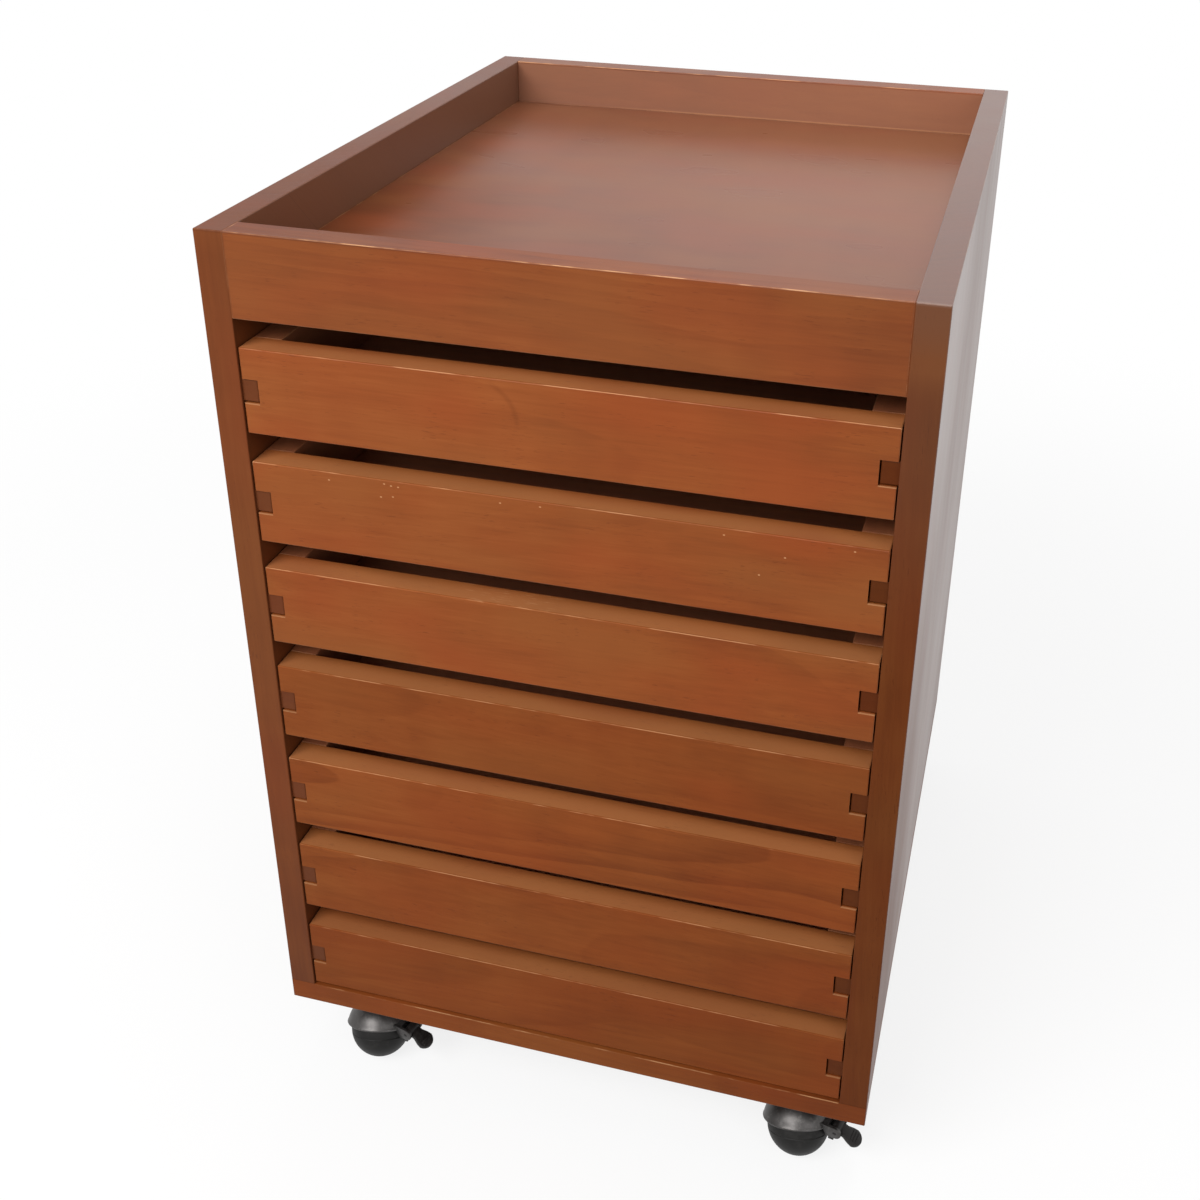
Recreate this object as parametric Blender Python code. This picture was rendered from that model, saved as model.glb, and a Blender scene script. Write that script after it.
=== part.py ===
"""Seven-drawer rolling cabinet with an open tray on top and ball casters below.

Metres, +Z up. The origin is on the floor under the middle of the cabinet, the front
faces -Y and +X is to the right of someone who stands in front of it.
"""
import math

import bmesh
import bpy
from mathutils import Matrix, Vector

# Carcass
carcass_width = 0.416
carcass_depth = 0.494
side_thickness = 0.018
bottom_thickness = 0.016
back_panel_thickness = 0.006
back_rebate_depth = 0.008
board_arris = 0.0006

# Tray on top
tray_board_height = 0.0515
tray_board_thickness = 0.018
tray_depth = 0.0325
tray_floor_thickness = 0.012
tray_tongue_thickness = 0.006
tray_groove_depth = 0.006

# Drawers, the first one on top
drawer_count = 7
drawer_height = 0.054
finger_gap = 0.0188
tray_gap = 0.0178
lowest_gap = 0.0025
drawer_front_thickness = 0.018
drawer_side_thickness = 0.018
drawer_back_thickness = 0.012
drawer_side_gap = 0.0008
drawer_set_back = 0.001
drawer_back_gap = 0.001
drawer_bottom_thickness = 0.004
drawer_bottom_rise = 0.008
drawer_bottom_groove = 0.006

# Runner strips on the carcass sides, in grooves of the drawers
runner_height = 0.014
runner_width = 0.010
runner_set_back = 0.002
runner_rear_gap = 0.004
runner_play_below = 0.0009
runner_play_aside = 0.0008

# Ball casters, hung from the bottom board
caster_height = 0.066
caster_side_inset = 0.050
caster_end_inset = 0.039
ball_radius = 0.0217
ball_trail = 0.011
axle_tilt = math.radians(27)
hood_radius = 0.025
hood_wall = 0.0016
hood_lip_rise = 0.0035
collar_radius = 0.006
collar_height = 0.008
axle_radius = 0.003
axle_reach = 0.0055
axle_play = 0.0003
plate_width = 0.042
plate_thickness = 0.0025
plate_corner_radius = 0.005
plate_hole_radius = 0.0022
plate_hole_inset = 0.006
race_radius = 0.014
race_height = 0.0045
stem_radius = 0.004
stem_length = 0.012
boss_radius = 0.0095
caster_yaw = {
    "front_left": math.radians(13),
    "front_right": math.radians(15),
    "rear_left": math.radians(14),
    "rear_right": math.radians(-9),
}

# Brake levers of the two front casters
lever_heading = math.radians(-26)
lever_pivot_out = 0.0285
lever_pivot_rise = 0.0116
lever_hub_radius = 0.0034
lever_hub_width = 0.010
lever_pin_radius = 0.0015
lever_pin_play = 0.0003
lever_length = 0.019
lever_width = 0.014
lever_thickness = 0.0036
lever_slope = math.radians(25)
shoe_drop = 0.0105
shoe_gap = 0.0016
shoe_thickness = 0.004
ear_radius = 0.0046
ear_thickness = 0.0022
ear_play = 0.0003

# Gaps and overruns
seat_gap = 0.0003
overrun = 0.002
weld_distance = 0.000003
arris_segments = 2
round_segments = 28
small_segments = 12
arc_segments = 8

carcass_height = (
    bottom_thickness + lowest_gap + drawer_count * drawer_height
    + (drawer_count - 1) * finger_gap + tray_gap + tray_board_height
)
front_y = -carcass_depth / 2
back_y = carcass_depth / 2
inner_x = carcass_width / 2 - side_thickness
board_top_z = caster_height + bottom_thickness
rim_z = caster_height + carcass_height
tray_low_z = rim_z - tray_board_height
tray_floor_low_z = rim_z - tray_depth - tray_floor_thickness
groove_height = runner_height + seat_gap + runner_play_below
groove_rise = (drawer_height - groove_height) / 2
groove_depth = runner_width - drawer_side_gap + runner_play_aside


def clear_scene():
    for item in list(bpy.data.objects):
        bpy.data.objects.remove(item, do_unlink=True)


def make_material(name, colour, roughness, metallic=0.0):
    material = bpy.data.materials.new(name)
    material.use_nodes = True
    shader = material.node_tree.nodes["Principled BSDF"]
    shader.inputs["Base Color"].default_value = (*colour, 1.0)
    shader.inputs["Roughness"].default_value = roughness
    shader.inputs["Metallic"].default_value = metallic
    material.diffuse_color = (*colour, 1.0)
    return material


def add_object(name, shape, material=None, place=(0, 0, 0), turn=None, parent=None):
    mesh = bpy.data.meshes.new(name)
    bmesh.ops.recalc_face_normals(shape, faces=shape.faces)
    shape.to_mesh(mesh)
    shape.free()
    item = bpy.data.objects.new(name, mesh)
    bpy.context.scene.collection.objects.link(item)
    if material:
        mesh.materials.append(material)
    item.location = place
    if turn:
        item.rotation_euler = turn
    item.parent = parent
    return item


def add_empty(name, place, turn=(0, 0, 0), parent=None):
    item = bpy.data.objects.new(name, None)
    bpy.context.scene.collection.objects.link(item)
    item.location = place
    item.rotation_euler = turn
    item.parent = parent
    return item


def box_shape(size):
    shape = bmesh.new()
    bmesh.ops.create_cube(shape, size=1.0)
    bmesh.ops.scale(shape, vec=size, verts=shape.verts)
    return shape


def ease_arrises(shape, width, butts=()):
    """Round the edges that lie on two faces of the shape's own box.

    Butts names faces that meet another board flush, by axis and hand: their edges stay sharp.
    """
    places = [vert.co for vert in shape.verts]
    low = [min(place[axis] for place in places) for axis in range(3)]
    high = [max(place[axis] for place in places) for axis in range(3)]
    outer = []
    for edge in shape.edges:
        walls = []
        for axis in range(3):
            for hand, wall in ((-1, low[axis]), (1, high[axis])):
                if all(math.isclose(vert.co[axis], wall, rel_tol=1e-5) for vert in edge.verts):
                    walls.append((axis, hand))
        if len(walls) == 2 and not any(wall in butts for wall in walls):
            outer.append(edge)
    bmesh.ops.bevel(shape, geom=outer, offset=width, segments=arris_segments,
                    profile=0.5, affect="EDGES", material=-1)
    return shape


def extruded_shape(outline, length, axis):
    """Push a closed outline along one axis, centred on it.

    The outline gives the two other coordinates, in X, Y, Z order.
    """
    shape = bmesh.new()
    corners = []
    for first, second in outline:
        place = [first, second]
        place.insert(axis, -length / 2)
        corners.append(shape.verts.new(place))
    face = shape.faces.new(corners)
    push = Vector((0, 0, 0))
    push[axis] = length
    grown = bmesh.ops.extrude_face_region(shape, geom=[face])
    moved = [part for part in grown["geom"] if isinstance(part, bmesh.types.BMVert)]
    bmesh.ops.translate(shape, vec=push, verts=moved)
    bmesh.ops.recalc_face_normals(shape, faces=shape.faces)
    return shape


def turned_shape(profile, segments=round_segments):
    """Spin a profile of (radius, height) points about Z; both ends lie on the axis."""
    shape = bmesh.new()
    verts = [shape.verts.new((radius, 0, height)) for radius, height in profile]
    edges = [shape.edges.new(pair) for pair in zip(verts, verts[1:])]
    bmesh.ops.spin(shape, geom=verts + edges, cent=(0, 0, 0), axis=(0, 0, 1),
                   angle=math.tau, steps=segments, use_merge=True)
    bmesh.ops.remove_doubles(shape, verts=shape.verts, dist=weld_distance)
    bmesh.ops.recalc_face_normals(shape, faces=shape.faces)
    return shape


def cylinder_shape(radius, low, high, segments=round_segments):
    return turned_shape([(0, low), (radius, low), (radius, high), (0, high)], segments)


def arc_points(radius, start, end, segments=arc_segments):
    """Points of (radius, height) on a circle; the angles count up from the level plane."""
    points = []
    for step in range(segments + 1):
        angle = start + (end - start) * step / segments
        points.append((radius * math.cos(angle), radius * math.sin(angle)))
    points[-1] = (max(points[-1][0], 0.0), points[-1][1])
    return points


def combine(item, shape, operation, place=(0, 0, 0), turn=None):
    """Join a shape to an object, cut it out, or keep what both hold."""
    tool = add_object(item.name + "_tool", shape, place=place, turn=turn)
    tool.hide_render = True
    tool.display_type = "WIRE"
    # The tool is placed in the object's own space
    tool.parent = item
    change = item.modifiers.new(operation.lower(), "BOOLEAN")
    change.operation = operation
    change.object = tool
    change.solver = "EXACT"
    weld = item.modifiers.new("weld", "WELD")
    weld.merge_threshold = weld_distance
    return item


def finish_shape(item, smooth_angle=None):
    """Apply the modifiers, drop the tools and set the shading."""
    bpy.context.view_layer.update()
    graph = bpy.context.evaluated_depsgraph_get()
    final = bpy.data.meshes.new_from_object(item.evaluated_get(graph))
    tools = [change.object for change in item.modifiers if change.type == "BOOLEAN"]
    item.modifiers.clear()
    item.data = final
    final.name = item.name
    for tool in tools:
        bpy.data.objects.remove(tool, do_unlink=True)
    if smooth_angle:
        final.shade_smooth()
        final.set_sharp_from_angle(angle=smooth_angle)
    return item


def between(low, high):
    """Size and middle of a box from two corners."""
    size = [top - bottom for bottom, top in zip(low, high)]
    middle = [(top + bottom) / 2 for bottom, top in zip(low, high)]
    return size, middle


def add_board(name, low, high, material, butts=()):
    size, middle = between(low, high)
    shape = ease_arrises(box_shape(size), board_arris, butts)
    return add_object(name, shape, material, middle)


def add_panel(name, low, high, material, parent=None):
    """A thin board with sharp edges, which sit in grooves or a rebate."""
    size, middle = between(low, high)
    return add_object(name, box_shape(size), material, middle, parent=parent)


def cut_box(item, low, high):
    """Cut a box, given in world places, out of an object that has no parent."""
    size, middle = between(low, high)
    offset = Vector(middle) - item.location
    combine(item, box_shape(size), "DIFFERENCE", offset)


def drawer_low_z(number):
    """Height of the underside of a drawer, counted from the top."""
    pitch = drawer_height + finger_gap
    return board_top_z + lowest_gap + (drawer_count - number) * pitch


def runner_low_z(number):
    return drawer_low_z(number) + groove_rise + runner_play_below


def build_side(name, hand, wood):
    """A side board with its rebate, its tray groove and one runner for each drawer."""
    outer = hand * carcass_width / 2
    inner = hand * inner_x
    across = sorted((outer, inner))
    board = add_board(name, (across[0], front_y, board_top_z + seat_gap),
                      (across[1], back_y, rim_z), wood, ((2, -1),))
    rebate = sorted((inner - hand * overrun, inner + hand * back_rebate_depth))
    cut_box(board, (rebate[0], back_y - back_panel_thickness - seat_gap, board_top_z - overrun),
            (rebate[1], back_y + overrun, tray_low_z))
    groove = sorted((inner - hand * overrun, inner + hand * (tray_groove_depth + seat_gap)))
    reach = tray_board_thickness - tray_groove_depth - seat_gap
    cut_box(board, (groove[0], front_y + reach, tray_floor_low_z - seat_gap),
            (groove[1], back_y - reach, tray_floor_low_z + tray_tongue_thickness + seat_gap))
    for number in range(1, drawer_count + 1):
        strip = sorted((inner + hand * side_thickness / 2, inner - hand * runner_width))
        low = (strip[0], front_y + runner_set_back, runner_low_z(number))
        high = (strip[1], back_y - back_panel_thickness - runner_rear_gap,
                runner_low_z(number) + runner_height)
        size, middle = between(low, high)
        shape = ease_arrises(box_shape(size), board_arris)
        combine(board, shape, "UNION", Vector(middle) - board.location)
    return finish_shape(board)


def build_tray_board(name, hand, wood):
    """The tray's front or back board, grooved on the inside for the tray floor."""
    half = tray_board_thickness / 2
    inside = -hand * half
    bed = inside + hand * (tray_groove_depth + seat_gap)
    top = tray_board_height / 2
    groove_low = top - tray_depth - tray_floor_thickness - seat_gap
    groove_top = groove_low + tray_tongue_thickness + seat_gap * 2
    outline = [
        (-inside, -top), (-inside, top), (inside, top), (inside, groove_top),
        (bed, groove_top), (bed, groove_low), (inside, groove_low), (inside, -top),
    ]
    length = (inner_x - seat_gap) * 2
    shape = ease_arrises(extruded_shape(outline, length, 0), board_arris, ((0, -1), (0, 1)))
    place = (0, hand * (carcass_depth / 2 - half), rim_z - top)
    return add_object(name, shape, wood, place)


def build_tray_floor(wood):
    """The tray's floor board, with a tongue at its lower edge on all four sides."""
    wall_y = carcass_depth / 2 - tray_board_thickness
    half = tray_floor_thickness / 2
    tongue_top = tray_tongue_thickness - half
    field = inner_x - seat_gap
    reach = inner_x + tray_groove_depth
    outline = [
        (-reach, -half), (reach, -half), (reach, tongue_top), (field, tongue_top),
        (field, half), (-field, half), (-field, tongue_top), (-reach, tongue_top),
    ]
    end = wall_y + tray_groove_depth
    floor = add_object("tray_floor", extruded_shape(outline, end * 2, 1), wood,
                       (0, 0, tray_floor_low_z + half))
    for hand in (-1, 1):
        across = sorted((hand * (wall_y - seat_gap), hand * (end + overrun)))
        cut_box(floor, (-reach, across[0], tray_floor_low_z + tray_tongue_thickness),
                (reach, across[1], rim_z))
    finish_shape(floor)


def build_carcass(wood, panel_wood):
    half = carcass_width / 2
    add_board("bottom_board", (-half, front_y, caster_height), (half, back_y, board_top_z), wood,
              ((2, 1),))
    build_side("left_side_board", -1, wood)
    build_side("right_side_board", 1, wood)
    build_tray_board("tray_front_board", -1, wood)
    build_tray_board("tray_back_board", 1, wood)
    build_tray_floor(wood)
    reach = inner_x + back_rebate_depth - seat_gap
    add_panel("back_panel", (-reach, back_y - back_panel_thickness, board_top_z + seat_gap),
              (reach, back_y, tray_low_z - seat_gap), panel_wood)


def build_drawer(number, wood, panel_wood):
    """One drawer: notched front, two grooved sides, back and bottom panel."""
    name = "drawer_%d" % number
    front = front_y + drawer_set_back
    rear = back_y - back_panel_thickness - drawer_back_gap
    low_z = drawer_low_z(number)
    half = inner_x - drawer_side_gap
    top = drawer_height / 2
    slide = add_empty(name, (0, front, low_z + top))

    notch_low = groove_rise - top
    notch_high = notch_low + groove_height
    bed = half - groove_depth
    outline = [
        (-half, -top), (half, -top), (half, notch_low), (bed, notch_low), (bed, notch_high),
        (half, notch_high), (half, top), (-half, top), (-half, notch_high),
        (-bed, notch_high), (-bed, notch_low), (-half, notch_low),
    ]
    shape = extruded_shape(outline, drawer_front_thickness, 1)
    shape = ease_arrises(shape, board_arris)
    board = add_object(name + "_front", shape, wood,
                       (0, drawer_front_thickness / 2, 0), parent=slide)
    slot_low = drawer_bottom_rise - seat_gap - top
    slot_high = drawer_bottom_rise + drawer_bottom_thickness + seat_gap - top
    slot_half = half - drawer_side_thickness + drawer_bottom_groove + seat_gap
    slot_start = drawer_front_thickness / 2 - drawer_bottom_groove - seat_gap
    size, middle = between((-slot_half, slot_start, slot_low),
                           (slot_half, drawer_front_thickness / 2 + overrun, slot_high))
    combine(board, box_shape(size), "DIFFERENCE", middle)
    finish_shape(board)

    depth = rear - front
    side_length = depth - drawer_front_thickness - seat_gap
    side_y = drawer_front_thickness + seat_gap + side_length / 2
    for hand, label in ((-1, "_left_side"), (1, "_right_side")):
        out = hand * drawer_side_thickness / 2
        inside = -out
        runner_bed = out - hand * groove_depth
        panel_bed = inside + hand * (drawer_bottom_groove + seat_gap)
        outline = [
            (out, -top), (out, notch_low), (runner_bed, notch_low), (runner_bed, notch_high),
            (out, notch_high), (out, top), (inside, top), (inside, slot_high),
            (panel_bed, slot_high), (panel_bed, slot_low), (inside, slot_low), (inside, -top),
        ]
        shape = ease_arrises(extruded_shape(outline, side_length, 1), board_arris, ((1, -1),))
        add_object(name + label, shape, wood,
                   (hand * half - out, side_y, 0), parent=slide)

    inner_half = half - drawer_side_thickness
    out = drawer_back_thickness / 2
    panel_bed = -out + drawer_bottom_groove + seat_gap
    outline = [
        (out, -top), (out, top), (-out, top), (-out, slot_high),
        (panel_bed, slot_high), (panel_bed, slot_low), (-out, slot_low), (-out, -top),
    ]
    length = (inner_half - seat_gap) * 2
    shape = ease_arrises(extruded_shape(outline, length, 0), board_arris, ((0, -1), (0, 1)))
    add_object(name + "_back", shape, wood, (0, depth - out, 0), parent=slide)

    reach = inner_half + drawer_bottom_groove
    start = drawer_front_thickness - drawer_bottom_groove
    end = depth - drawer_back_thickness + drawer_bottom_groove
    panel_low = drawer_bottom_rise - top
    add_panel(name + "_bottom", (-reach, start, panel_low),
              (reach, end, panel_low + drawer_bottom_thickness), panel_wood, slide)


def rounded_square(width, radius):
    """Outline of a square with round corners, centred on the origin."""
    points = []
    corner = width / 2 - radius
    steps = small_segments // 4
    for quarter, (right, up) in enumerate(((1, 1), (-1, 1), (-1, -1), (1, -1))):
        for step in range(steps + 1):
            angle = math.pi / 2 * (quarter + step / steps)
            points.append((right * corner + radius * math.cos(angle),
                           up * corner + radius * math.sin(angle)))
    return points


def build_plate(name, steel, swivel):
    """Top plate with its screw holes, the swivel race under it and the stem."""
    outline = rounded_square(plate_width, plate_corner_radius)
    shape = extruded_shape(outline, plate_thickness, 2)
    middle = -seat_gap - plate_thickness / 2
    plate = add_object(name + "_plate", shape, steel, (0, 0, middle), parent=swivel)
    race_low = -plate_thickness / 2 - race_height
    profile = [
        (0, race_low - stem_length), (stem_radius, race_low - stem_length),
        (stem_radius, race_low), (race_radius - race_height / 2, race_low),
        (race_radius, race_low + race_height / 2), (race_radius, 0), (0, 0),
    ]
    combine(plate, turned_shape(profile, round_segments), "UNION")
    hole = plate_width / 2 - plate_hole_inset
    for right in (-1, 1):
        for up in (-1, 1):
            shape = cylinder_shape(plate_hole_radius, -plate_thickness, plate_thickness,
                                   small_segments)
            combine(plate, shape, "DIFFERENCE", (right * hole, up * hole, 0))
    finish_shape(plate, math.radians(35))


def ear_shape(width):
    """A block that reaches out of the hood and ends round about the lever's pivot."""
    points = [(-lever_pivot_out / 2, ear_radius), (-lever_pivot_out / 2, -ear_radius)]
    for step in range(small_segments // 2 + 1):
        angle = -math.pi / 2 + math.pi * step / (small_segments // 2)
        points.append((ear_radius * math.cos(angle), ear_radius * math.sin(angle)))
    return extruded_shape(points, width, 1)


def build_hood(name, steel, swivel, ball_centre, has_brake):
    """A hollow cap over the ball, with a boss for the stem and the inclined axle inside."""
    lean = (-axle_tilt, 0, 0)
    profile = arc_points(hood_radius, math.asin(hood_lip_rise / hood_radius), math.pi / 2)
    shape = turned_shape([(0, hood_lip_rise)] + profile)
    hood = add_object(name + "_hood", shape, steel, ball_centre, lean, swivel)
    upright = Matrix.Rotation(-axle_tilt, 4, "X").inverted()

    boss_top = -seat_gap - plate_thickness - race_height - seat_gap - ball_centre.z
    stem_place = upright @ Vector((-ball_centre.x, -ball_centre.y, 0))
    combine(hood, cylinder_shape(boss_radius, hood_radius / 2, boss_top), "UNION",
            stem_place, (axle_tilt, 0, 0))
    lever_place = Vector((lever_pivot_out, 0, lever_pivot_rise))
    towards_lever = upright @ Matrix.Rotation(lever_heading, 4, "Z")
    lever_turn = towards_lever.to_euler()
    ears = lever_hub_width + (ear_play + ear_thickness) * 2
    if has_brake:
        combine(hood, ear_shape(ears), "UNION", towards_lever @ lever_place, lever_turn)

    inner = hood_radius - hood_wall
    collar_low = inner - collar_height
    hollow = arc_points(inner, -math.pi / 2, math.acos(collar_radius / inner), arc_segments * 2)
    hollow += [(collar_radius, collar_low), (0, collar_low)]
    combine(hood, turned_shape(hollow), "DIFFERENCE")
    bore_low = boss_top + seat_gap - stem_length - seat_gap
    combine(hood, cylinder_shape(stem_radius + axle_play, bore_low, boss_top + overrun),
            "DIFFERENCE", stem_place, (axle_tilt, 0, 0))
    if has_brake:
        slot = lever_hub_width + ear_play * 2
        clear_x = ball_radius + shoe_gap - ear_play - lever_pivot_out
        low = (clear_x, -slot / 2, -ear_radius - overrun)
        high = (ear_radius + overrun, slot / 2, ear_radius + overrun)
        size, middle = between(low, high)
        combine(hood, box_shape(size), "DIFFERENCE",
                towards_lever @ (lever_place + Vector(middle)), lever_turn)
        low = (-lever_pivot_out / 2, -slot / 2, -shoe_drop - overrun)
        high = (overrun, slot / 2, -lever_hub_radius / 2)
        size, middle = between(low, high)
        combine(hood, box_shape(size), "DIFFERENCE",
                towards_lever @ (lever_place + Vector(middle)), lever_turn)
        pin = cylinder_shape(lever_pin_radius + lever_pin_play, -ears, ears, small_segments)
        bmesh.ops.rotate(pin, matrix=Matrix.Rotation(math.pi / 2, 3, "X"), verts=pin.verts)
        combine(hood, pin, "DIFFERENCE", towards_lever @ lever_place, lever_turn)
    combine(hood, cylinder_shape(axle_radius, -axle_reach, collar_low + overrun, small_segments),
            "UNION")
    finish_shape(hood, math.radians(35))


def build_ball(name, plastic, swivel, ball_centre):
    """The ball turns on the inclined axle; its hidden top is flat and bored."""
    axle = add_empty(name + "_axle", ball_centre, (-axle_tilt, 0, 0), swivel)
    flat = hood_radius - hood_wall - collar_height - seat_gap
    edge = math.asin(flat / ball_radius)
    bore = axle_radius + axle_play
    bore_low = -axle_reach - seat_gap
    profile = arc_points(ball_radius, -math.pi / 2, edge, arc_segments * 2)
    profile += [(bore, flat), (bore, bore_low), (0, bore_low)]
    ball = add_object(name + "_ball", turned_shape(profile), plastic, parent=axle)
    finish_shape(ball, math.radians(35))


def build_brake(name, plastic, swivel, ball_centre):
    """Lever with its hub, its pin ends and the shoe that meets the ball."""
    heading = Matrix.Rotation(lever_heading, 3, "Z")
    place = ball_centre + heading @ Vector((lever_pivot_out, 0, lever_pivot_rise))
    hub = cylinder_shape(lever_hub_radius, -lever_hub_width / 2, lever_hub_width / 2,
                         small_segments)
    upright = Matrix.Rotation(math.pi / 2, 3, "X")
    bmesh.ops.rotate(hub, matrix=upright, verts=hub.verts)
    lever = add_object(name + "_brake_lever", hub, plastic, place, (0, 0, lever_heading), swivel)
    reach = lever_hub_width / 2 + ear_play + ear_thickness
    pin = cylinder_shape(lever_pin_radius, -reach, reach, small_segments)
    bmesh.ops.rotate(pin, matrix=upright, verts=pin.verts)
    combine(lever, pin, "UNION")

    half = lever_width / 2
    narrow = lever_hub_width / 2 - seat_gap
    straight = lever_length - half
    outline = [(0, -narrow), (ear_radius + overrun, -narrow), (ear_radius + half, -half)]
    for step in range(small_segments // 2 + 1):
        angle = -math.pi / 2 + math.pi * step / (small_segments // 2)
        outline.append((straight + half * math.cos(angle), half * math.sin(angle)))
    outline += [(ear_radius + half, half), (ear_radius + overrun, narrow), (0, narrow)]
    arm = extruded_shape(outline, lever_thickness, 2)
    combine(lever, arm, "UNION", turn=(0, lever_slope, 0))

    shoe_face = ball_radius + shoe_gap - lever_pivot_out
    shoe_half = narrow - seat_gap
    low = (shoe_face, -shoe_half, -shoe_drop)
    high = (shoe_face + shoe_thickness, shoe_half, 0)
    size, middle = between(low, high)
    combine(lever, box_shape(size), "UNION", middle)
    finish_shape(lever, math.radians(35))


def build_caster(label, right, rear, metal, plastic):
    """Plate, hood, ball and, at the front, a brake lever."""
    name = "caster_" + label
    place = Vector((right * (carcass_width / 2 - caster_side_inset),
                    rear * (carcass_depth / 2 - caster_end_inset), caster_height))
    fixed = add_empty(name, place)
    build_plate(name, metal, fixed)
    swivel = add_empty(name + "_swivel", (0, 0, 0), (0, 0, caster_yaw[label]), fixed)
    ball_centre = Vector((0, -ball_trail, ball_radius - caster_height))
    has_brake = rear < 0
    build_hood(name, metal, swivel, ball_centre, has_brake)
    build_ball(name, plastic, swivel, ball_centre)
    if has_brake:
        build_brake(name, plastic, swivel, ball_centre)


def build_cabinet():
    clear_scene()
    wood = make_material("stained_wood", (0.27, 0.085, 0.028), 0.38)
    panel_wood = make_material("stained_panel", (0.22, 0.075, 0.028), 0.5)
    metal = make_material("dark_metal", (0.06, 0.058, 0.056), 0.34, 0.9)
    plastic = make_material("black_plastic", (0.012, 0.011, 0.011), 0.45)
    build_carcass(wood, panel_wood)
    for number in range(1, drawer_count + 1):
        build_drawer(number, wood, panel_wood)
    for label, right, rear in (("front_left", -1, -1), ("front_right", 1, -1),
                               ("rear_left", -1, 1), ("rear_right", 1, 1)):
        build_caster(label, right, rear, metal, plastic)


build_cabinet()
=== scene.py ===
import math
import random

import bmesh
import bpy
from mathutils import Matrix, Vector


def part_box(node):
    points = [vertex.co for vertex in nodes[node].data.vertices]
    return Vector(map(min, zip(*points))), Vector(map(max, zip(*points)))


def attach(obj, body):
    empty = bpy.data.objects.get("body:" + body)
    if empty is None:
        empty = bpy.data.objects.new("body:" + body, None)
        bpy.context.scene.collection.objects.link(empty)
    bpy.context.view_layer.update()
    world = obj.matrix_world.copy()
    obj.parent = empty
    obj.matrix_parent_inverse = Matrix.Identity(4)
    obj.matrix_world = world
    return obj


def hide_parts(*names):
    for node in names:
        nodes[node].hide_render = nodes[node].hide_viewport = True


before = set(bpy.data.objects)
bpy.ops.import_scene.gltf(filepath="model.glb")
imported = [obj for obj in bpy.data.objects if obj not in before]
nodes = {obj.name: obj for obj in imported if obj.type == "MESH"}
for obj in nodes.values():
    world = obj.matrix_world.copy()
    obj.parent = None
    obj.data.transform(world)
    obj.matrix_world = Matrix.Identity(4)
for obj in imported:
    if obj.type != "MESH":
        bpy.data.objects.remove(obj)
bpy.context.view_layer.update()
print("frame loaded with", len(nodes), "solids")


# Shader maths: a Number wraps a value socket, and sums on it add their Math nodes
def operator(operation, swapped=False):
    def apply(number, *others):
        values = (*others, number) if swapped else (number, *others)
        return number.math(operation, *values)
    return apply


class Number:
    def __init__(self, finish, socket):
        self.finish = finish
        self.socket = socket

    def math(self, operation, *values, clamp=False):
        settings = {"operation": operation, "use_clamp": clamp}
        made = self.finish.node("ShaderNodeMath", settings, dict(enumerate(values)))
        return Number(self.finish, made.outputs[0])

    __add__ = __radd__ = operator("ADD")
    __mul__ = __rmul__ = operator("MULTIPLY")
    __sub__, __rsub__ = operator("SUBTRACT"), operator("SUBTRACT", swapped=True)
    __truediv__, __pow__, __abs__ = operator("DIVIDE"), operator("POWER"), operator("ABSOLUTE")
    least, most = operator("MINIMUM"), operator("MAXIMUM")
    whole, part = operator("FLOOR"), operator("FRACT")

    def limited(self):
        return self.math("ADD", self, 0.0, clamp=True)

    def ramp(self, start, end, low=0.0, high=1.0):
        # a smooth step from low at start to high at end
        sockets = {"Value": self, "From Min": start, "From Max": end, "To Min": low, "To Max": high}
        made = self.finish.node("ShaderNodeMapRange", {"interpolation_type": "SMOOTHSTEP"}, sockets)
        return Number(self.finish, made.outputs["Result"])


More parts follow.
